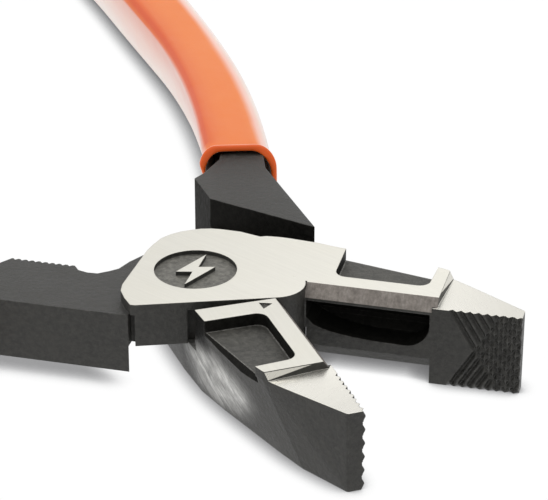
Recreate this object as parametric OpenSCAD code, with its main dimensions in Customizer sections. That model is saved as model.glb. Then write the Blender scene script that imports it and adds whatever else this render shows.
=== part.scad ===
// Side-cutting lineman pliers: two forged halves lapped over each other,
// a hidden pivot rivet and two dipped grips. Millimetres, +Z up.
// Z is the pivot axis, the head rests on z = 0, +X runs between the open jaws.
// Each half is drawn closed, with its jaw along +X, its jaw body on +Y and its handle
// on -Y; the lower half is then mirrored in y, and both are swung open.

/* [Head] */
// Thickness of the head from bottom face to ground top face
head_t = 15.9; // [15.4:0.1:16.4]
// How far the arms and shoulders sit below the ground head plate
arm_drop = 2.0; // [1.6:0.1:2.4]
// Thickness of the bare arms between the head and the grips
arm_t = 10.9; // [10:0.1:11.5]
// Gap between the two laps where they slide on each other
lap_gap = 0.10; // [0.06:0.02:0.2]
// Radius of the rounded nose of each lap around the pivot
lobe_r = 5.4; // [5.2:0.1:5.6]
// Slope of the near edge (-Y side) of the head plate, degrees
near_slope = 21.1; // [20:0.1:22]
// Length of the straight near edge of the head plate
near_len = 24.2; // [23.6:0.1:24.6]

/* [Emblem] */
// Radius of the round recess in the head plate
emblem_r = 7.2; // [6.6:0.1:7.6]
// Depth of the round recess
emblem_depth = 0.8; // [0.5:0.1:1.1]
// Size of the raised lightning bolt inside the recess
bolt_scale = 1.0; // [0.8:0.05:1.1]

/* [Jaws] */
// Distance from the pivot axis to the jaw tips
jaw_len = 43.0; // [42:0.1:44]
// Drop of the gripping tip below the frame around the cutter
tip_drop = 1.4; // [1.0:0.1:2.0]
// Where the frame steps down to the gripping tip
step_x = 28.4; // [28.2:0.1:28.8]
// Half of the gap left between the closed gripping faces
face_gap = 0.05; // [0.03:0.01:0.1]
// Width of the ground bevel above the cutting edge
bevel_w = 1.7; // [1.4:0.1:2.0]
// Height of the ground bevel above the cutting edge
bevel_h = 2.2; // [1.8:0.1:2.4]
// Depth of the forged pocket in the jaw face
pocket_depth = 2.2; // [1.8:0.1:2.6]
// Pitch of the gripping grooves measured along the jaw
groove_pitch = 1.5; // [1.4:0.05:1.8]
// Depth of the gripping grooves
groove_depth = 0.55; // [0.4:0.05:0.6]
// Lean of the gripping grooves from vertical, degrees
groove_lean = 31; // [29:1:33]

/* [Pivot] */
// Radius of the rivet shank
rivet_r = 3.4; // [3.2:0.1:3.6]
// Radial running clearance of the shank in the lower half
rivet_clear = 0.05; // [0.03:0.01:0.09]
// Radius of the flush rivet head on the underside
rivet_head_r = 4.4; // [4.2:0.1:4.6]
// Thickness of the flush rivet head
rivet_head_h = 1.8; // [1.5:0.1:2.2]
// Steel left above the blind rivet hole
rivet_skin = 1.9; // [1.5:0.1:2.4]

/* [Handles] */
// Distance from the pivot axis to the handle ends
handle_len = 198.5; // [190:0.5:205]
// Half width of the steel tang under the grip
tang_w = 4.2; // [3.8:0.1:4.8]
// Thickness of the steel tang
tang_t = 8.6; // [8:0.2:9.6]
// Number of notches between the wire-gripping teeth on the upper arm
teeth = 10; // [8:1:11]
// Pitch of the wire-gripping teeth
tooth_pitch = 1.25; // [1.15:0.05:1.25]

/* [Grips] */
// Half width of the grip past its rolled rim
grip_w = 6.7; // [6.4:0.1:6.9]
// Half thickness of the grip past its rolled rim
grip_t = 6.9; // [6.6:0.1:7.0]
// How much the grip's half width gains towards its far end
grip_grow = 0.7; // [0:0.1:1.2]
// How far the rolled rim stands out
rim_out = 0.75; // [0.55:0.05:0.85]
// Corner radius of the grip section
grip_round = 3.4; // [3:0.1:4]
// Thickness of the vinyl past the end of the tang
grip_end = 3.5; // [3:0.1:4.5]

/* [Pose] */
// Angle between the jaws as drawn
opening = 56; // [40:0.5:60]

/* [Hidden] */
$fn = 96;
over = 1; // how far cuts run past the faces they open

// levels
mid = head_t / 2;
upper_lap_z = mid + lap_gap / 2; // underside of the upper lap
lower_lap_z = mid - lap_gap / 2; // top of the lower lap
arm_z1 = head_t - arm_drop;
arm_z0 = arm_z1 - arm_t;
tip_z = head_t - tip_drop;
edge_z = head_t - bevel_h; // cutting edge
pocket_z = head_t - pocket_depth;

// head and jaw plan
clear_r = lobe_r + 0.3; // room in each jaw for the other half's nose
near_start = lobe_r * [sin(near_slope), -cos(near_slope)]; // tangent to the nose
near_end = near_start - near_len * [cos(near_slope), sin(near_slope)];
jaw_root_x = 5.35;
cutter_x0 = 5.6;
cutter_x1 = 27.4;

// arm edges in y: inner faces the other arm; end is the x of the end wall's outer corner
upper_inner = 1.1;
upper_outer = -14.1;
upper_end = -21.9;
lower_inner = -1.3;
lower_outer = -15.4;
lower_end = -21.3;

// handle centre line
bow_x = -50;     // the bow starts here
bow_len = 75;    // and fades out over this length
bow_rise = 11.35;
run_y = -22.2;   // the straight run
turn_x = -160;   // the end turns in from here
turn_rate = 0.0012;
grip_x = -52.3;  // mouth of the grip

steel = [0.16, 0.16, 0.17];
bright = [0.78, 0.77, 0.74];
orange = [0.91, 0.33, 0.11];

// outer edge of the head, from the plate chamfer to the jaw: x, y
head_edge = [
    [-25.0, -7.0], [-24.6, 6.0], [-24.3, 8.2], [-23.6, 11.2], [-22.4, 13.2], [-20.9, 14.7],
    [-19.3, 15.8], [-17.7, 16.7], [-16.0, 17.2], [-14.3, 17.4], [-10.6, 17.3], [-6.7, 16.3],
    [-5.6, 16.8], [-3.2, 17.0], [0.5, 16.9], [3.4, 16.6], [6.1, 16.0], [9.0, 15.5]];

// outer edge of the jaw, from the tip side back to its root: x, y
jaw_edge = [
    [34, 8.65], [32, 9.85], [30, 11.0], [28, 12.05], [26, 12.75], [24, 13.2], [20, 13.9],
    [16, 14.6], [12, 15.2], [9, 15.6], [4.8, 15.9], [jaw_root_x, 2.6]];

// raised bolt about the emblem's centre: x, y
bolt = [[1.7, 5.6], [-3.4, -0.9], [-0.5, -0.9], [-1.7, -5.6], [3.4, 0.9], [0.5, 0.9]];

// part of a circle as polygon points
function arc(centre, radius, start, end, steps) = [
    for (i = [0:steps])
        let (angle = start + (end - start) * i / steps)
        centre + radius * [cos(angle), sin(angle)]];

// upright prism between two levels
module prism(z0, z1, plan) {
    translate([0, 0, z0]) linear_extrude(z1 - z0) polygon(plan);
}

// upright cylinder on the pivot axis between two levels
module pivot_cylinder(radius, z0, z1) {
    translate([0, 0, z0]) cylinder(r = radius, h = z1 - z0);
}

// bar along X with its section given in y and z
module bar(x0, x1, section) {
    translate([x0, 0, 0]) rotate([90, 0, 90]) linear_extrude(x1 - x0) polygon(section);
}

// ---- Handle line ----

// bows outward, runs straight, turns slightly in at the end
function bow(x) =
    let (t = min(1, (bow_x - x) / bow_len))
    run_y + bow_rise * pow(1 - t, 2) + (x < turn_x ? turn_rate * pow(turn_x - x, 2) : 0);

function slope(x) = bow(x + 0.5) - bow(x - 0.5);

// point at a distance square to the line at x, then shifted back along the line
function beside(x, distance, back = 0) =
    let (s = slope(x), norm = sqrt(1 + s * s))
    [x - back - s * distance / norm, bow(x - back) + distance / norm];

// plan of a band along the handle from x0 to x1
function band(x0, x1, half_width, steps) = concat(
    [for (i = [0:steps]) beside(x0 + (x1 - x0) * i / steps, half_width)],
    [for (i = [steps:-1:0]) beside(x0 + (x1 - x0) * i / steps, -half_width)]);

// ---- Steel ----

// solid lap with its rounded nose
module lap(z0, z1) {
    prism(z0, z1, concat(
        [near_start, near_end, near_end + [-0.9, -0.05], [-23.2, -11.7], [-24.6, -9.3]],
        head_edge,
        [[9.0, 2.0], lobe_r * [cos(22), sin(22)], [0, 0]]));
    pivot_cylinder(lobe_r, z0, z1);
}

// arm with its slanted end wall, and the neck that carries it into the lap
module arm(inner, outer, end_x, neck_z0, neck_z1) {
    neck_x = -39.6;
    prism(arm_z0, arm_z1, [
        [end_x - 17.4, inner], [-47.9, inner], [-49.4, inner - 2.2], [-51.9, -6.0],
        [-54.4, -8.4], [-56.5, -9.3], [-56.5, -17.6], [-52.4, -16.6], [-47.8, outer],
        [end_x, outer]]);
    prism(neck_z0, neck_z1, [
        [neck_x, inner], [-36.3, inner], [-35.2, inner - 1.4], [-33.4, inner - 1.9],
        [-31.6, inner - 1.8], [-29.8, inner - 0.4], [-28.5, inner + 0.9], [-27.5, 4.9],
        [-25.9, 7.9], [-24.3, 8.2], [-20, 0], [-20, -13.0], [end_x - 0.1, outer],
        [neck_x, outer]]);
}

// steel tang that carries the grip
module tang() {
    prism(mid - tang_t / 2, mid + tang_t / 2, band(-52, -handle_len + grip_end, tang_w, 30));
}

// envelope of head and jaw: upright above the gripping tip's level, drafted inwards below it
module wall() {
    x0 = -25.2;
    x1 = jaw_len + 0.02;
    tip_x = jaw_len - 0.18;
    far_y = -60;
    margin = 0.1; // clear of the head's edge
    top = concat(
        [[x0, far_y], [x0, 6.0]],
        [for (p = head_edge) if (p[1] > 8 && p[0] < 0) p + [0, margin]],
        [[4.8, 16.4], [9, 15.65], [16, 14.65], [24, 13.25], [28, 12.1], [32, 9.9],
        [tip_x, 3.3], [x1, 3.0], [x1, far_y]]);
    bottom = [
        [x0, far_y], [x0, -7], [-24.0, 5.0], [-22.6, 9.0], [-20.4, 12.4], [-17.8, 14.4],
        [-15, 15.2], [-12.6, 15.4], [-3, 15.3], [4.8, 14.8], [12, 13.2], [19, 11.35],
        [28, 9.0], [34, 7.2], [tip_x, 3.0], [x1, 2.7], [x1, far_y]];
    hull() {
        prism(tip_z, head_t + over, top);
        prism(-0.01, 0, bottom);
    }
}

// lens-shaped hollow under the cutting edge: an outline in x and z met by a section in y and z
module hollow() {
    x1 = 27.2;
    corner_r = 4.2;
    corner_x = x1 - corner_r;
    floor_z = 6.75;
    floor_rise = 3.25; // extra height of the floor at its root end
    steps = 12;
    floor_line = [
        for (i = [0:steps])
            let (t = i / steps)
            [cutter_x0 + (corner_x - cutter_x0) * t,
                floor_z + floor_rise * (1 - sin(90 * sqrt(t)))]];
    intersection() {
        translate([0, 8, 0]) rotate([90, 0, 0]) linear_extrude(10)
            polygon(concat(
                floor_line,
                arc([corner_x, floor_z + corner_r], corner_r, -90, 0, 8),
                [[x1, head_t], [cutter_x0, head_t]]));
        bar(0, 30, [
            [-1, 4.6], [-1, edge_z - 0.5], [0.4, edge_z - 0.5], [2.4, edge_z - 1.1],
            [5.2, edge_z - 2.8], [6.4, edge_z - 4.6], [6.2, 8.2], [5.0, 6.9], [2.5, 6.0]]);
    }
}

// cuts shared by the jaw and the lap next to it
module jaw_cuts() {
    hollow();
    // relief under the cutter
    bar(cutter_x0, cutter_x1, [[-1, -1], [-1, 4.8], [0, 4.7], [4.2, 3.6], [6.0, 0], [6.0, -1]]);
}

// thin slice of the step at one y; foot is how far its lower end reaches along X
module step_slice(y, foot) {
    translate([step_x - 0.1, y, tip_z]) rotate([90, 0, 0]) linear_extrude(0.02)
        polygon([[-0.2, -1], [foot, -1], [foot, 0], [0, tip_drop], [-0.2, tip_drop]]);
}

module jaw_blank() {
    prism(0, tip_z, concat(
        [[jaw_root_x, face_gap], [jaw_len, face_gap], [jaw_len, 2.95], [jaw_len - 0.2, 3.25]],
        jaw_edge));
    // raised frame around the cutter
    intersection() {
        prism(0, head_t, concat([[jaw_root_x, face_gap], [34, face_gap]], jaw_edge));
        union() {
            cube([step_x, 20, head_t]);
            // the step eases into a ramp towards the outside
            hull() {
                step_slice(y = 12.5, foot = 0.9);
                step_slice(y = 2.6, foot = 0.1);
            }
        }
    }
}

// ground bevel down to the cutting edge, running out above the gripping tip
module bevel() {
    runout_y = face_gap + (bevel_w - face_gap) * (tip_z - edge_z) / bevel_h;
    above = [[bevel_w, head_t], [bevel_w, head_t + over], [-1, head_t + over]];
    bar(0, cutter_x1 + 0.1, concat([[-1, edge_z], [face_gap, edge_z]], above));
    bar(cutter_x1, cutter_x1 + 5, concat([[-1, tip_z], [runout_y, tip_z]], above));
}

// forged pocket in the jaw's top face, open to the outside
module pocket() {
    x0 = 9.0;
    x1 = 26.5;
    corner_r = 2.0;
    corner_y = 7.1;
    prism(pocket_z, head_t + over, concat(
        [[x0, 20]],
        arc([11.3, corner_y], corner_r, 180, 270, 6),
        arc([23.9, corner_y], corner_r, 270, 360, 6),
        [[x1, 20]]));
    // its floor breaks down towards the outside
    intersection() {
        translate([x0, 5, 0]) cube([x1 - x0, 14, 20]);
        translate([x0, 15.4, pocket_z]) rotate([0, 0, -11.7]) rotate([-62, 0, 0])
            translate([-1, 0, 0]) cube([20, 6, 5]);
    }
}

// crossed gripping grooves in the parting face
module grooves() {
    first_x = 31.0;
    side = groove_depth * sqrt(2);
    shift = tip_z / 2 * tan(groove_lean);
    intersection() {
        for (k = [0:8], lean = [-groove_lean, groove_lean])
            translate([first_x + k * groove_pitch + shift, face_gap, tip_z / 2])
                rotate([0, lean, 0]) rotate([0, 0, 45]) cube([side, side, 40], center = true);
        translate([30, -1, -1]) cube([jaw_len - 29, 3, head_t + 2]);
    }
}

// one jaw, body on +Y, parting plane at y = 0
module jaw() {
    difference() {
        jaw_blank();
        bevel();
        pocket();
        // small triangular mark beside the cutter
        prism(head_t - 0.3, head_t + over, [[5.95, 4.9], [8.25, 4.8], [6.95, 2.8]]);
        grooves();
    }
}

// lap and jaw within the drafted wall; the jaw is cleared for the other half's nose
module head(lap_z0, lap_z1, clear_z0, clear_z1) {
    intersection() {
        union() {
            lap(lap_z0, lap_z1);
            difference() {
                jaw();
                pivot_cylinder(clear_r, clear_z0, clear_z1);
            }
        }
        wall();
    }
}

// notches that leave the teeth on the inner edge of the upper arm
module arm_notches() {
    first_x = -37.2;
    side = 0.6;
    for (k = [0:teeth - 1])
        translate([first_x - k * tooth_pitch, upper_inner, arm_z0 - over]) rotate([0, 0, 45])
            translate([-side / 2, -side / 2, 0]) cube([side, side, head_t]);
}

// round recess around the raised lightning bolt
module emblem() {
    translate([-14.4, 1.4, head_t - emblem_depth]) difference() {
        cylinder(r = emblem_r, h = emblem_depth + over);
        translate([0, 0, -1]) linear_extrude(emblem_depth + 1) rotate(14) scale(bolt_scale)
            polygon(bolt);
    }
}

// relief of the plate's near wall, and the slot between that wall and the arm's end
module near_reliefs() {
    z0 = mid - 1;
    skin = 1.5; // left at the plate's top
    rotate(near_slope) translate([-15.4, -lobe_r - 1, z0]) cube([13.4, 2.6, head_t - skin - z0]);
    translate([upper_end, -15.2, z0]) cube([1.1, 2.9, arm_z1 - z0]);
}

module upper_half() {
    color(steel) rotate(opening / 2) difference() {
        union() {
            arm(upper_inner, upper_outer, upper_end, upper_lap_z, arm_z1);
            tang();
            head(upper_lap_z, head_t, -over, upper_lap_z);
        }
        jaw_cuts();
        emblem();
        arm_notches();
        near_reliefs();
        pivot_cylinder(rivet_r, -over, head_t - rivet_skin);
    }
}

module lower_half() {
    color(steel) rotate(-opening / 2) mirror([0, 1, 0]) difference() {
        union() {
            arm(lower_inner, lower_outer, lower_end, arm_z0, lower_lap_z);
            tang();
            head(0, lower_lap_z, lower_lap_z, lower_lap_z + head_t);
        }
        jaw_cuts();
        pivot_cylinder(rivet_r + rivet_clear, -over, head_t + over);
        pivot_cylinder(rivet_head_r + rivet_clear, -over, rivet_head_h + rivet_clear);
    }
}

// shank pressed blind into the upper half, head flush under the lower half
module pivot_rivet() {
    color(bright) union() {
        cylinder(r = rivet_r, h = head_t - rivet_skin);
        cylinder(r = rivet_head_r, h = rivet_head_h);
    }
}

// ---- Grips ----

corner_steps = 5;
ring_size = 4 * (corner_steps + 1);

// 0 near the head, 1 at the far end of the grip, smooth in between
function grow(x) =
    let (t = max(0, min(1, (-x - 105) / 60)))
    t * t * (3 - 2 * t);

// rounded rectangle across the grip at x, half sizes w and t; the broad faces are cut back by arch
function ring(x, w, t, radius, arch) = [
    for (q = [0:3], i = [0:corner_steps])
        let (angle = q * 90 + 90 * i / corner_steps,
            across = (q == 0 || q == 3 ? 1 : -1) * (w - radius) + radius * cos(angle),
            up = (q < 2 ? 1 : -1) * (t - radius) + radius * sin(angle))
        concat(beside(x, across, arch * pow(abs(up) / t, 2)), [mid + up])];

// ring at a station, from its x and the swell added to both half sizes
function grip_ring(x, swell) =
    let (g = grow(x),
        w = grip_w + grip_grow * g + swell,
        t = grip_t + (mid - grip_t) * g + swell,
        radius = max(1, min(grip_round + 0.6 * g, t - 0.5)),
        arch = 3.0 * max(0, 1 - (grip_x - x) / 14))
    ring(x, w, t, radius, arch);

module grip_body() {
    rim_steps = 8;
    body_steps = 34;
    tail_steps = 5;
    tail_len = 5;
    tail_in = 4.6; // how far the rounded tail draws in
    rim_end = grip_x - 0.35 * rim_steps;
    tail_x = -handle_len + tail_len;
    // x, swell: rolled rim at the mouth, plain body, rounded tail
    stations = concat(
        [for (i = [0:rim_steps]) let (t = i / rim_steps)
            [grip_x + (rim_end - grip_x) * t, rim_out * sin(180 * t) - 0.5 * pow(1 - t, 4)]],
        [for (i = [1:body_steps]) [rim_end + (tail_x - rim_end) * i / body_steps, 0]],
        [for (i = [1:tail_steps]) let (angle = 90 * i / tail_steps)
            [tail_x - tail_len * sin(angle), -tail_in * (1 - cos(angle))]]);
    last = len(stations) - 1;
    m = ring_size;
    points = [for (s = stations, p = grip_ring(s[0], s[1])) p];
    // two end caps, then two triangles for each cell of the skin
    faces = concat(
        [[for (j = [0:m - 1]) j]],
        [[for (j = [m - 1:-1:0]) last * m + j]],
        [for (i = [0:last - 1], j = [0:m - 1])
            [i * m + j, (i + 1) * m + j, (i + 1) * m + (j + 1) % m]],
        [for (i = [0:last - 1], j = [0:m - 1])
            [i * m + j, (i + 1) * m + (j + 1) % m, i * m + (j + 1) % m]]);
    polyhedron(points, faces, convexity = 6);
}

// vinyl grip with the steel's room taken out
module grip(inner, outer) {
    mouth_t = grip_t - 0.4;
    difference() {
        grip_body();
        tang();
        arm(inner, outer, -22, arm_z0, mid);
        // open mouth around the shoulder
        prism(mid - mouth_t, mid + mouth_t, band(-51, -58.5, grip_w - 0.7, 6));
    }
}

module upper_half_grip() {
    color(orange) rotate(opening / 2) grip(upper_inner, upper_outer);
}

module lower_half_grip() {
    color(orange) rotate(-opening / 2) mirror([0, 1, 0]) grip(lower_inner, lower_outer);
}

upper_half();
lower_half();
pivot_rivet();
upper_half_grip();
lower_half_grip();
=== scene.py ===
"""Pliers lying open on a white table: two forged halves, a rivet and two dipped vinyl grips.

The pivot axis is Z through the origin and the tool's underside is at z = 0. Jaws point to +X,
handles to -X; the upper half has its jaw on +Y and its handle on -Y. Each half is described in
millimetres as if the pliers were closed, the lower half mirrored in y, then turned open.
"""
import bpy, bmesh, math
from functools import cached_property
from mathutils import Vector, Matrix


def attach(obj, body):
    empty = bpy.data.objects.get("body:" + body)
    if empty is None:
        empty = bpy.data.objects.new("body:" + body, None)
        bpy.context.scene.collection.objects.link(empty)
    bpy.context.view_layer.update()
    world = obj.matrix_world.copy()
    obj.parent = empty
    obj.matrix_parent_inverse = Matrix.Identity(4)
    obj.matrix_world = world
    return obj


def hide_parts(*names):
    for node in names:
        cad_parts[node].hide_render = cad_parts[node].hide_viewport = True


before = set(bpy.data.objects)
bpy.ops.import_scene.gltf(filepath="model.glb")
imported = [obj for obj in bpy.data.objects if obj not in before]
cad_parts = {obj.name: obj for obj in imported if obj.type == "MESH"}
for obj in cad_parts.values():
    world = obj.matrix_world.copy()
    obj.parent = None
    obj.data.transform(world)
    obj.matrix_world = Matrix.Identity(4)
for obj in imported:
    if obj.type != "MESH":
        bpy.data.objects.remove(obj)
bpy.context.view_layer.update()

MM = 0.001
THICKNESS = 15.9
OPENING = 56.0  # degrees between the halves
HALF_OPENING = math.radians(OPENING / 2)
TURN = {"upper": HALF_OPENING, "lower": -HALF_OPENING}


# ---------------------------------------------------------------- frames
def rotate(x, y, angle):
    return (x * math.cos(angle) - y * math.sin(angle),
            x * math.sin(angle) + y * math.cos(angle))


def place(point, half):
    """Closed-pliers millimetres of one half -> metres in the open position."""
    x, y, z = point
    if half == "lower":
        y = -y
    return Vector((*rotate(x, y, TURN[half]), z)) * MM


def local(vector, half, unit):
    """Vector in the open position -> axes of one closed half, divided by unit."""
    x, y = rotate(vector[0] / unit, vector[1] / unit, -TURN[half])
    return x, (y if half == "upper" else -y), vector[2] / unit


# ---------------------------------------------------------------- node builder
def grey(value):
    return (value, value, value)


def scaled(color, factor):
    return tuple(v * factor for v in color)


class Nodes:
    """Builds the node tree of a material or world; the methods return output sockets."""

    def __init__(self, owner):
        self.owner = owner
        owner.use_nodes = True
        self.tree = owner.node_tree
        self.tree.nodes.clear()

    def add(self, kind, inputs=None, **settings):
        """Add a node; each input is given a socket to link or a value."""
        node = self.tree.nodes.new("ShaderNode" + kind)
        for key, value in settings.items():
            setattr(node, key, value)
        for key, value in (inputs or {}).items():
            if isinstance(value, bpy.types.NodeSocket):
                self.tree.links.new(value, node.inputs[key])
            else:
                node.inputs[key].default_value = value
        return node

    @cached_property
    def tex_coord(self):
        return self.add("TexCoord")

    def coords(self, angle=0):
        """Object coordinates turned about Z."""
        vector = self.tex_coord.outputs["Object"]
        return self.add("Mapping", {"Rotation": (0, 0, angle), "Vector": vector}).outputs[0]

    def stretch(self, vector, scale):
        return self.add("VectorMath", {0: vector, 1: scale}, operation="MULTIPLY").outputs[0]

    def turned(self, angle, scale):
        """Object coordinates turned about Z first, then stretched."""
        return self.stretch(self.coords(angle), scale)

    def dot(self, a, b):
        return self.add("VectorMath", {0: a, 1: b}, operation="DOT_PRODUCT").outputs["Value"]

    def split(self, vector):
        return self.add("SeparateXYZ", {0: vector}).outputs

    def noise(self, vector, scale, detail, rough):
        inputs = {"Scale": scale, "Detail": detail, "Roughness": rough, "Vector": vector}
        return self.add("TexNoise", inputs).outputs["Fac"]

    def voronoi(self, vector, scale):
        return self.add("TexVoronoi", {"Scale": scale, "Vector": vector}).outputs["Distance"]

    def ramp(self, value, stops):
        node = self.add("ValToRGB", {0: value})
        elements = node.color_ramp.elements
        while len(elements) < len(stops):
            elements.new(0.5)
        for element, (position, color) in zip(elements, stops):
            element.position = position
            element.color = (*color, 1)
        return node.outputs[0]

    def remap(self, value, span=(0.3, 0.7), to=(0.0, 1.0)):
        inputs = {"From Min": span[0], "From Max": span[1],
                  "To Min": to[0], "To Max": to[1], "Value": value}
        return self.add("MapRange", inputs).outputs[0]

    def math(self, operation, *values):
        return self.add("Math", dict(enumerate(values)), operation=operation).outputs[0]

    def multiply(self, a, b):
        return self.math("MULTIPLY", a, b)

    def mix(self, factor, a, b, mode="MIX"):
        a, b = ((*v, 1) if isinstance(v, tuple) else v for v in (a, b))
        return self.add("MixRGB", {0: factor, 1: a, 2: b}, blend_type=mode).outputs[0]

    def bump(self, height, strength, distance, normal=None):
        inputs = {"Strength": strength, "Distance": distance, "Height": height}
        if normal is not None:
            inputs["Normal"] = normal
        return self.add("Bump", inputs).outputs[0]

    def hump(self, value, center, reach):
        """1 at center, falling to 0 at distance reach."""
        distance = self.math("ABSOLUTE", self.math("SUBTRACT", value, center))
        return self.remap(distance, span=(0.0, reach), to=(1.0, 0.0))

    def rounded(self, radius):
        """Normal rounded over the edges."""
        return self.add("Bevel", {"Radius": radius}, samples=4).outputs[0]

    def edge_mask(self, rounded):
        """1 on convex and concave edges, 0 on flats."""
        flat = self.add("NewGeometry").outputs["True Normal"]
        return self.remap(self.dot(rounded, flat), span=(0.995, 0.80))

    def finish(self, inputs):
        """Close a material with a Principled surface and return it."""
        surface = self.add("BsdfPrincipled", inputs).outputs[0]
        self.add("OutputMaterial", {"Surface": surface})
        return self.owner


def new_material(name):
    return Nodes(bpy.data.materials.new(name))


# ---------------------------------------------------------------- materials
def flank_scratches_and_painted_reflection(mat, coords, turn, base, metal, specular, normal):
    """Long scratches down the outer wall beside the joint, painted near white in an oval as a
    reflection of light, with painted shade in the corner under the plate.
    """
    flank = mat.turned(-turn, (1, -1 if turn < 0 else 1, 1))
    x, y, z = mat.split(flank)
    tilted = mat.add("Mapping", {"Rotation": (0, math.radians(-38), 0), "Vector": flank})
    scratch = mat.noise(mat.stretch(tilted.outputs[0], (170, 500, 2600)),
                        scale=1.0, detail=5, rough=0.75)
    blotch = mat.noise(coords, scale=240, detail=4, rough=0.6)
    # scratched area with a painted reflection: a blotchy oval in x and z, on the outer wall
    # only
    scratch_and_reflection_mask = mat.multiply(mat.hump(x, center=0.0115, reach=0.0150),
                        mat.hump(z, center=0.0058, reach=0.0066))
    scratch_and_reflection_mask = mat.multiply(mat.remap(scratch_and_reflection_mask, span=(0.08, 0.55)),
                        mat.remap(blotch, span=(0.3, 0.62), to=(0.35, 1.0)))
    scratch_and_reflection_mask = mat.multiply(scratch_and_reflection_mask, mat.remap(y, span=(0.011, 0.0125)))
    # painted reflection: the scratches run up to near white in the oval, where light would be
    # reflected
    scratch_and_reflection_color = mat.ramp(scratch, [
        (0.30, (0.22, 0.22, 0.215)),
        (0.48, (0.62, 0.617, 0.60)),
        (0.68, (1.0, 0.99, 0.97))])
    # painted shade: the corner tucked under the plate, where the plate's shadow falls, is
    # painted black and barely reflective
    painted_shade = mat.multiply(mat.remap(mat.hump(x, center=0.0055, reach=0.0060), span=(0.0, 0.5)),
                        mat.remap(z, span=(0.0085, 0.0115)))
    painted_shade = mat.multiply(painted_shade, mat.remap(y, span=(0.010, 0.012)))
    scratch_and_reflection_mask = mat.multiply(scratch_and_reflection_mask, mat.remap(painted_shade, span=(0.0, 1.0), to=(1.0, 0.0)))
    base = mat.mix(mat.multiply(painted_shade, 0.8), base, grey(0.004))
    specular = mat.multiply(mat.remap(painted_shade, span=(0.0, 1.0), to=(1.0, 0.2)), specular)
    base = mat.mix(scratch_and_reflection_mask, base, scratch_and_reflection_color)
    metal = mat.math("ADD", metal, mat.multiply(scratch_and_reflection_mask, 0.5))
    normal = mat.bump(mat.multiply(scratch, scratch_and_reflection_mask), strength=0.35, distance=0.00008,
                      normal=normal)
    return base, metal, specular, normal


def black_steel(name, grain=1.0, tone=1.0, rough=0.46, specular=0.5, painted_edge_highlight=False,
                flank_turn=None):
    """Black oxide over forged steel: mottled tone, shot grain, wear and a painted highlight on
    the edges.

    flank_turn is the half's turn where the scratched flank with its painted reflection and
    painted shade is wanted.
    """
    mat = new_material(name)
    coords = mat.coords()
    broad = mat.noise(coords, scale=150, detail=3, rough=0.6)
    fine = mat.noise(coords, scale=1050, detail=6, rough=0.72)
    pits = mat.voronoi(coords, scale=1000)
    rounded = mat.rounded(radius=0.0006 if painted_edge_highlight else 0.00035)
    base = mat.ramp(broad, [
        (0.3, scaled((0.0135, 0.0130, 0.0112), tone)),
        (0.7, scaled((0.025, 0.0242, 0.0212), tone))])
    base = mat.mix(mat.remap(fine, span=(0.40, 0.66), to=(0.0, 0.75)), base,
                   scaled((0.052, 0.0505, 0.045), tone))
    # with the option, a pale speckled painted highlight lines the edges and the feet of walls
    if painted_edge_highlight:
        worn_and_lit = mat.noise(coords, scale=1900, detail=4, rough=0.75)
        worn_and_lit = mat.remap(worn_and_lit, span=(0.40, 0.60), to=(0.12, 1.0))
        worn_and_lit_color = (0.60, 0.59, 0.56)
    else:
        worn_and_lit = mat.noise(coords, scale=520, detail=5, rough=0.75)
        worn_and_lit = mat.remap(worn_and_lit, span=(0.44, 0.72), to=(0.03, 0.8))
        worn_and_lit_color = (0.20, 0.196, 0.185)
    # edge wear and painted highlight, on convex and concave edges alike
    wear_and_highlight = mat.multiply(mat.edge_mask(rounded), worn_and_lit)
    base = mat.mix(wear_and_highlight, base, worn_and_lit_color)
    metal = mat.multiply(wear_and_highlight, 0.3)
    normal = mat.bump(fine, strength=0.75 * grain, distance=0.00026, normal=rounded)
    # scratches with a painted reflection and a painted shade on the outer wall
    if flank_turn is not None:
        base, metal, specular, normal = flank_scratches_and_painted_reflection(
            mat, coords, flank_turn, base, metal, specular, normal)
    normal = mat.bump(pits, strength=0.35 * grain, distance=0.00010, normal=normal)
    return mat.finish({
        "Base Color": base,
        "Metallic": metal,
        "Roughness": mat.math("ADD", mat.remap(fine, to=(-0.09, 0.11)),
                              mat.remap(broad, to=(rough - 0.04, rough + 0.06))),
        "Specular IOR Level": specular,
        "Normal": mat.bump(broad, strength=0.25, distance=0.0004, normal=normal)})


def ground_steel(name, angle, turn, painted_light_x, painted_light, tint=(0.775, 0.757, 0.690), rough=0.32,
                 streak=1.0):
    """Warm white ground steel with fine parallel lines.

    Painted light and shade: brightness goes from the first to the second factor between the two
    given places along the half.
    """
    mat = new_material(name)
    lines = mat.noise(mat.turned(angle, (90, 2600, 400)), scale=1.0, detail=4, rough=0.7)
    fine = mat.noise(mat.turned(angle, (300, 7000, 400)), scale=1.0, detail=3, rough=0.6)
    cloud = mat.noise(mat.coords(), scale=95, detail=3, rough=0.5)
    color = mat.mix(mat.remap(lines, span=(0.35, 0.7), to=(0.0, 0.30 * streak)),
                    tint, scaled(tint, 0.80))
    clouded = tuple(v * fade for v, fade in zip(tint, (0.90, 0.895, 0.86)))
    color = mat.mix(mat.remap(cloud, span=(0.35, 0.7), to=(0.0, 0.22)), color, clouded)
    # painted light and shade: brightness fades along the half
    along = mat.split(mat.turned(-turn, (1, 1, 1)))[0]
    return mat.finish({
        "Base Color": mat.mix(1.0, color, mat.remap(along, span=painted_light_x, to=painted_light), "MULTIPLY"),
        "Metallic": 0.82,
        "Roughness": mat.math("ADD", mat.remap(fine, to=(-0.05, 0.08)),
                              mat.remap(cloud, to=(rough, rough + 0.07))),
        "Normal": mat.bump(lines, strength=0.05 * streak, distance=0.00003,
                           normal=mat.rounded(radius=0.00025))})


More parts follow.
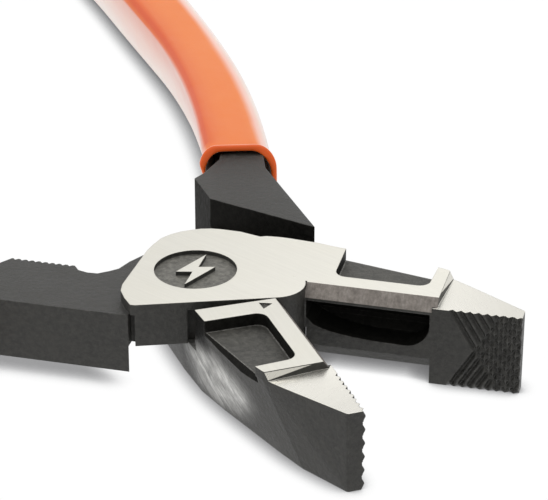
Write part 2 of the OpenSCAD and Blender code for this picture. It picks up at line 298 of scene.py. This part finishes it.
def cutter_steel(name, angle):
    """Coarse ground cutter bevel: brown-grey, with grinding marks across the edge."""
    mat = new_material(name)
    across = mat.noise(mat.turned(angle, (2200, 420, 420)), scale=1.0, detail=5, rough=0.75)
    blotch = mat.noise(mat.coords(), scale=800, detail=6, rough=0.75)
    color = mat.ramp(blotch, [
        (0.3, (0.19, 0.170, 0.155)),
        (0.55, (0.34, 0.308, 0.285)),
        (0.8, (0.50, 0.465, 0.44))])
    return mat.finish({
        "Base Color": mat.mix(mat.remap(across, span=(0.38, 0.7), to=(0.0, 0.42)), color,
                              (0.13, 0.12, 0.112)),
        "Metallic": 0.6,
        "Roughness": mat.remap(across, to=(0.38, 0.58)),
        "Normal": mat.bump(across, strength=0.4, distance=0.00010,
                           normal=mat.rounded(radius=0.0002))})


def vinyl(name):
    """Thick glossy vinyl: deep orange seen square on, with a painted pale reflection when seen
    obliquely.
    """
    mat = new_material(name)
    coords = mat.coords()
    slow = mat.noise(coords, scale=55, detail=2, rough=0.5)
    medium = mat.noise(coords, scale=260, detail=3, rough=0.5)
    fine = mat.noise(coords, scale=2600, detail=3, rough=0.6)
    facing = mat.add("LayerWeight", {"Blend": 0.5}).outputs["Facing"]
    # painted reflection: the colour turns pale pink and near white towards grazing view
    color = mat.ramp(facing, [
        (0.0, (0.84, 0.120, 0.012)),
        (0.40, (0.84, 0.125, 0.014)),
        (0.55, (0.87, 0.180, 0.014)),
        (0.62, (0.90, 0.23, 0.030)),
        (0.70, (0.97, 0.60, 0.50)),
        (0.86, (1.0, 0.88, 0.82))])
    color = mat.mix(mat.remap(slow, to=(0.0, 0.10)), color, (0.80, 0.10, 0.012))
    # painted shade: deeper orange where the grip mesh marks its crease, which also holds back
    # the painted pale reflection there
    crease = mat.add("Attribute", attribute_name="crease").outputs["Fac"]
    crease_stops = ((0.0, 0), (0.35, 0.12), (0.72, 0.42), (0.84, 0.62), (0.93, 0.97))
    painted_crease_shade = mat.ramp(crease, [(position, grey(v)) for position, v in crease_stops])
    normal = None
    for height, distance in ((fine, 0.00006), (medium, 0.00025), (slow, 0.0010)):
        normal = mat.bump(height, strength=0.08, distance=distance, normal=normal)
    return mat.finish({
        "Base Color": mat.mix(painted_crease_shade, color, (0.74, 0.095, 0.012)),
        "Roughness": mat.math("ADD", mat.remap(medium, to=(0.30, 0.40)),
                              mat.remap(fine, to=(-0.02, 0.03))),
        "Specular IOR Level": 0.28,
        "Subsurface Weight": 0.04,
        "Subsurface Radius": (0.0012, 0.0005, 0.0002),
        "Coat Weight": 0.15,
        "Coat Roughness": 0.10,
        "Normal": normal})


def rivet_steel(name):
    """Mottled bright steel, darker on the edges."""
    mat = new_material(name)
    mottle = mat.noise(mat.coords(), scale=900, detail=4, rough=0.6)
    pits = mat.voronoi(mat.coords(), scale=1600)
    rounded = mat.rounded(radius=0.0003)
    color = mat.ramp(mottle, [(0.3, (0.30, 0.295, 0.285)), (0.7, (0.52, 0.51, 0.49))])
    normal = mat.bump(mottle, strength=0.2, distance=0.0001, normal=rounded)
    return mat.finish({
        "Base Color": mat.mix(mat.multiply(mat.edge_mask(rounded), 0.6), color, grey(0.10)),
        "Metallic": 0.9,
        "Roughness": mat.remap(mottle, to=(0.3, 0.5)),
        "Normal": mat.bump(pits, strength=0.3, distance=0.00012, normal=normal)})


# slots of a forging, in the order of forging_materials
BLACK, PLATE, TIP, CUTTER, POCKET, MACHINED_SHADE, SHADED, EMBLEM, GROOVE = range(9)

# line angle away from the half's axis, and brightness between two places along it, painted as
# light and shade
PLATE_LOOK = {
    "upper": dict(skew=0.45, painted_light_x=(-0.022, 0.024), painted_light=(0.94, 1.07)),
    "lower": dict(skew=0.0, painted_light_x=(0.0, 0.024), painted_light=(0.93, 0.95)),
}


def forging_materials(half):
    turn = TURN[half]
    look = PLATE_LOOK[half]
    return [
        black_steel("black_forged_" + half, flank_turn=turn),
        ground_steel("ground_plate_" + half, look["skew"] - turn, turn,
                     painted_light_x=look["painted_light_x"], painted_light=look["painted_light"]),
        # painted light and shade on the tip: lighter towards the pivot, darker at the end
        ground_steel("ground_tip_" + half, math.radians(62) - turn, turn,
                     painted_light_x=(0.029, 0.041), painted_light=(1.05, 0.90),
                     tint=(0.80, 0.782, 0.722), rough=0.26, streak=0.4),
        cutter_steel("cutter_bevel_" + half, -turn),
        # pocket floor, with a painted highlight line where it meets its walls
        black_steel("forged_pocket_" + half, grain=1.3, tone=2.4, rough=0.55,
                    painted_edge_highlight=True),
        # painted shade: the machined faces under the cutter, dark and barely reflective where
        # the hollow's shadow falls
        black_steel("machined_shade_black_" + half, grain=0.35, tone=0.3, rough=0.6, specular=0.12),
        black_steel("shaded_black_" + half, tone=0.35, rough=0.55, specular=0.08),
        black_steel("emblem_floor_" + half, grain=1.2, tone=5.5, rough=0.5),
        black_steel("groove_steel_" + half, grain=0.5, tone=0.8, rough=0.30),
    ]


rivet_material = rivet_steel("rivet_face")
vinyl_material = vinyl("dipped_vinyl")
FORGING = {half: forging_materials(half) for half in TURN}


# ---------------------------------------------------------------- the two forgings
def face_slot(half, center, normal):
    """Material slot of a face, from its centre (mm) and normal in the half's own axes."""
    x, y, z = center
    nx, ny, nz = normal
    top = THICKNESS
    # flat top and underside
    if nz > 0.98 and z > top - 0.05:
        return PLATE
    # sloping top of the jaw tip
    if nz > 0.5 and z > top - 1.45 and x > 28.3:
        return TIP
    if nz < -0.98 and z < 0.05 and x > -26:
        return PLATE
    # bevel along the cutting edge
    if 0.3 < nz < 0.95 and 4.5 < x < 28.3 and -0.2 < y < 1.9 and z > top - 2.4:
        return CUTTER
    # sunk floor in the jaw's top
    if nz > 0.9 and top - 2.4 < z < top - 0.2 and x > 5 and y > 2:
        return POCKET
    # shallow sunk floor on the handle side of the pivot
    if nz > 0.9 and top - 0.95 < z < top - 0.6 and x < 0:
        return EMBLEM
    # faces below the cutter, painted as shade
    if 5.5 < x < 27.4 and 4.5 < z < top - 2.2 and 0.3 < y < 6.6:
        return MACHINED_SHADE
    # gripping face of the tip
    if x > 29 and 0.09 < y < 1.2:
        return GROOVE
    # inner wall of the lower handle
    if half == "lower" and abs(nz) < 0.4 and x < -20 and y > -14.5:
        return SHADED
    # side and end walls of the sunk floor in the jaw
    if (abs(nz) < 0.3 and z > top - 2.3 and 8.8 < x < 26.7
            and ((ny > 0.3 and 4.5 < y < 8.0) or abs(nx) > 0.85)):
        return SHADED
    # slope on the jaw's outer side
    if 0.25 < nz < 0.9 and 8.9 < x < 26.6 and y > 10.5 and 10.0 < z < top - 1.9:
        return SHADED
    return BLACK


def finish_half(half):
    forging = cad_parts[half + "_half"]
    mesh = forging.data
    mesh.materials.clear()
    for material in FORGING[half]:
        mesh.materials.append(material)
    for face in mesh.polygons:
        face.material_index = face_slot(half, local(face.center, half, unit=MM),
                                        local(face.normal, half, unit=1))
        face.use_smooth = False
    weld = forging.modifiers.new("weld", "WELD")
    weld.merge_threshold = 0.000004
    bevel = forging.modifiers.new("soft_edges", "BEVEL")
    bevel.limit_method = "ANGLE"
    bevel.angle_limit = math.radians(28)
    bevel.width = 0.00022
    bevel.segments = 2
    bevel.use_clamp_overlap = True
    bevel.harden_normals = False
    bevel.miter_outer = "MITER_ARC"


for half in TURN:
    finish_half(half)
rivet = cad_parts["pivot_rivet"]
rivet.data.materials.clear()
rivet.data.materials.append(rivet_material)


# ---------------------------------------------------------------- dipped grips
# millimetres, closed pliers
TAIL_X = -198.4
MOUTH_X = -52.3
HALF_WIDTH = 6.7
HALF_DEPTH = 6.9  # along z, near the mouth; THICKNESS / 2 at the tail
TAIL_WIDENING = 0.7
MOUTH_ARCH = 3.0  # how far the mouth is drawn back at the top and bottom


def clamp01(value):
    return max(0.0, min(1.0, value))


def bow(x):
    """y of the grip's centre line."""
    t = min(1.0, (-x - 50) / 75)
    y = -22.2 + 11.35 * (1 - t) ** 2
    return y + (0.0012 * (-x - 160) ** 2 if x < -160 else 0)


def swell(x):
    """0 near the mouth, easing to 1 towards the tail."""
    t = clamp01((-x - 105) / 60)
    return t * t * (3 - 2 * t)


def section(width, depth, inner_radius, outer_radius):
    """Rounded rectangle (u, v) of half-width and half-depth; +u faces the other handle."""
    steps = 10
    corners = ((1, 1, inner_radius), (-1, 1, outer_radius),
               (-1, -1, outer_radius), (1, -1, inner_radius))
    outline = []
    for quarter, (side_u, side_v, radius) in enumerate(corners):
        radius = max(0.3, min(radius, depth - 0.2, width - 0.2))
        for i in range(steps + 1):
            angle = math.radians(quarter * 90 + 90 * i / steps)
            outline.append((side_u * (width - radius) + radius * math.cos(angle),
                            side_v * (depth - radius) + radius * math.sin(angle)))
    # extra points divide the flat sides
    points = []
    for a, b in zip(outline, outline[1:] + outline[:1]):
        points.append(a)
        if math.hypot(b[0] - a[0], b[1] - a[1]) > 2.0:
            for j in range(1, 6):
                s = j / 6
                points.append((a[0] + (b[0] - a[0]) * s, a[1] + (b[1] - a[1]) * s))
    return points


def grip_stations():
    """From tail to mouth: x, how far the section stands out, whether inside the mouth."""
    stations = []
    # rounded tail
    for i in range(11):
        angle = math.radians(90 * i / 10)
        stations.append((TAIL_X + 5.0 * (1 - math.cos(angle)),
                         -4.6 * (1 - math.sin(angle)), False))
    # even body
    start, end = stations[-1][0], MOUTH_X - 3.6
    for i in range(1, 91):
        stations.append((start + (end - start) * i / 90, 0.0, False))
    # a fine crease, then the rolled bead
    for back, out in ((2.4, -0.02), (2.1, -0.10), (1.95, -0.10)):
        stations.append((MOUTH_X - back, out, False))
    for degrees in range(-50, 91, 14):
        angle = math.radians(degrees)
        stations.append((MOUTH_X - 0.9 + 0.9 * math.sin(angle),
                         -0.12 + 0.85 * math.cos(angle), False))
    # over the lip and back inside
    for degrees in (120, 150, 180):
        angle = math.radians(degrees)
        stations.append((MOUTH_X - 0.6 + 0.6 * math.sin(angle),
                         -0.15 + 0.28 * math.cos(angle), True))
    for back, out in ((1.4, -0.5), (3.2, -0.62), (5.5, -0.9), (8.5, -1.7)):
        stations.append((MOUTH_X - back, out, True))
    return stations


def grip_ring(half, x, out, inside):
    """Placed points of one station, each with its crease mark."""
    growth = swell(x)
    width = HALF_WIDTH + TAIL_WIDENING * growth + out
    depth = HALF_DEPTH + (THICKNESS / 2 - HALF_DEPTH) * growth + out
    outer, inner = 4.4 + 0.6 * growth, 2.0 + 0.8 * growth
    # corner radii draw closer together near the mouth
    near_mouth = clamp01((x - (MOUTH_X - 16)) / 14)
    inner += (3.4 - inner) * near_mouth
    outer += (4.0 - outer) * near_mouth
    outer = max(0.8, outer + 0.5 * min(out, 0))
    inner = max(0.8, inner + 0.35 * min(out, 0))
    fade = 0.0 if inside else clamp01((MOUTH_X - 3.0 - x) / 3.0)
    arch = MOUTH_ARCH * max(0.0, 1 - (MOUTH_X - x) / 14)
    ring = []
    for u, v in section(width, depth, inner, outer):
        back_x = x - arch * (abs(v) / depth) ** 2
        slope = bow(back_x + 0.5) - bow(back_x - 0.5)
        length = math.sqrt(1 + slope * slope)
        point = (back_x - slope * u / length, bow(back_x) + u / length, THICKNESS / 2 + v)
        # marked along the corner between the top and the inner side, for the painted shade
        # along the crease
        distance = math.hypot(u - (width - 0.7), v - (depth - 0.5))
        ring.append((place(point, half), fade * max(0.0, 1 - distance / 5.0)))
    return ring


def grip(half):
    name = half + "_grip_vinyl"
    mesh = bpy.data.meshes.new(name)
    bm = bmesh.new()
    crease = bm.verts.layers.float.new("crease")
    rings = []
    for station in grip_stations():
        ring = []
        for point, mark in grip_ring(half, *station):
            vert = bm.verts.new(point)
            vert[crease] = mark
            ring.append(vert)
        rings.append(ring)
    count = len(rings[0])
    for a, b in zip(rings, rings[1:]):
        for i in range(count):
            j = (i + 1) % count
            bm.faces.new((a[i], a[j], b[j], b[i]))
    for ring in (rings[0], rings[-1]):
        center = bm.verts.new(sum((v.co for v in ring), Vector()) / count)
        for i in range(count):
            bm.faces.new((ring[i], ring[(i + 1) % count], center))
    bmesh.ops.remove_doubles(bm, verts=bm.verts, dist=1e-7)
    bmesh.ops.recalc_face_normals(bm, faces=bm.faces)
    for face in bm.faces:
        face.smooth = True
    bm.to_mesh(mesh)
    bm.free()
    obj = bpy.data.objects.new(name, mesh)
    bpy.context.scene.collection.objects.link(obj)
    mesh.materials.append(vinyl_material)
    smooth = obj.modifiers.new("smooth", "SUBSURF")
    smooth.levels = 1
    smooth.render_levels = 1
    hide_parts(half + "_half_grip")
    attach(obj, half)


for half in TURN:
    grip(half)

# ---------------------------------------------------------------- studio
scene = bpy.context.scene


def floor_white():
    """White table that glows evenly, with a painted contact shadow where the tool is close;
    clear from underneath.
    """
    mat = new_material("floor_white")
    occlusion = mat.add("AmbientOcclusion", {"Distance": 0.0048}, samples=12).outputs["AO"]
    # painted contact shadow: darker where ambient occlusion finds the tool close
    shade = mat.ramp(occlusion, [
        (0.0, grey(0.08)),
        (0.35, (0.24, 0.24, 0.245)),
        (0.6, (0.60, 0.60, 0.605)),
        (0.76, grey(0.90)),
        (0.88, grey(1.0))])
    # the tool is lit by an even, slightly dimmer table than the one the camera sees
    camera_ray = mat.add("LightPath").outputs["Is Camera Ray"]
    color = mat.mix(camera_ray, grey(0.84), shade)
    glow = mat.add("Emission", {"Color": color, "Strength": 1.01}).outputs[0]
    clear = mat.add("BsdfTransparent").outputs[0]
    backfacing = mat.add("NewGeometry").outputs["Backfacing"]
    surface = mat.add("MixShader", {0: backfacing, 1: glow, 2: clear}).outputs[0]
    mat.add("OutputMaterial", {"Surface": surface})
    return mat.owner


bpy.ops.mesh.primitive_plane_add(size=6, location=(0, 0, -0.00005))
floor = bpy.context.object
floor.name = "floor"
floor.data.materials.append(floor_white())


def studio_world():
    """Warm grey surround, brighter overhead and behind the tool than on the camera's side."""
    world = bpy.data.worlds.new("studio")
    scene.world = world
    sky = Nodes(world)
    toward = sky.dot(sky.tex_coord.outputs["Generated"], (-0.52, 0.57, 0.64))
    ramp = sky.add("ValToRGB", {0: sky.remap(toward, span=(-1.0, 1.0))})
    elements = ramp.color_ramp.elements
    # keep this order: new() re-sorts the slots that earlier references point to
    slots = [elements[0], elements[1], elements.new(0.5)]
    for element, (position, v) in zip(slots, ((0.25, 0.55), (0.85, 0.94), (0.55, 0.74))):
        element.position = position
        element.color = (v, v * 0.988, v * 0.95, 1)
    light = sky.add("Background", {"Color": ramp.outputs[0], "Strength": 1.0}).outputs[0]
    sky.add("OutputWorld", {"Surface": light})


studio_world()

# camera: direction angles, place in metres, lens in mm
AZIMUTH, ELEVATION, ROLL = (math.radians(v) for v in (42.26, 27.14, 0.09))
CAMERA_PLACE = (0.25837, -0.28439, 0.21913)
forward = Vector((-math.sin(AZIMUTH) * math.cos(ELEVATION),
                  math.cos(AZIMUTH) * math.cos(ELEVATION),
                  -math.sin(ELEVATION)))
right = Vector((math.cos(AZIMUTH), math.sin(AZIMUTH), 0))
up = right.cross(forward)


def add_camera():
    camera = bpy.data.cameras.new("cam")
    obj = bpy.data.objects.new("cam", camera)
    scene.collection.objects.link(obj)
    rolled_right = right * math.cos(ROLL) + up * math.sin(ROLL)
    rolled_up = up * math.cos(ROLL) - right * math.sin(ROLL)
    rows = zip(rolled_right, rolled_up, -forward, CAMERA_PLACE)
    obj.matrix_world = Matrix((*rows, (0, 0, 0, 1)))
    camera.sensor_width = 36
    camera.sensor_fit = "HORIZONTAL"
    camera.lens = 166.664234
    camera.clip_start = 0.01
    camera.dof.use_dof = False
    scene.camera = obj


def area_light(name, location, target, size, power):
    light = bpy.data.lights.new(name, "AREA")
    light.shape = "RECTANGLE"
    light.size = size
    light.size_y = size
    light.energy = power
    obj = bpy.data.objects.new(name, light)
    scene.collection.objects.link(obj)
    obj.location = location
    obj.rotation_euler = (target - location).to_track_quat("-Z", "Y").to_euler()


add_camera()
aim = Vector((0, 0, 0.01))
area_light("key_top", aim + up * 0.2 + Vector((-0.15, 0.35, 0.75)), aim, size=0.7, power=1.6)
area_light("left_soft", aim - right * 0.75 + Vector((0, 0, 0.30)), aim, size=0.5, power=0.7)

scene.view_settings.view_transform = "Standard"
scene.view_settings.look = "None"
scene.view_settings.exposure = 0.0
scene.view_settings.gamma = 1.0
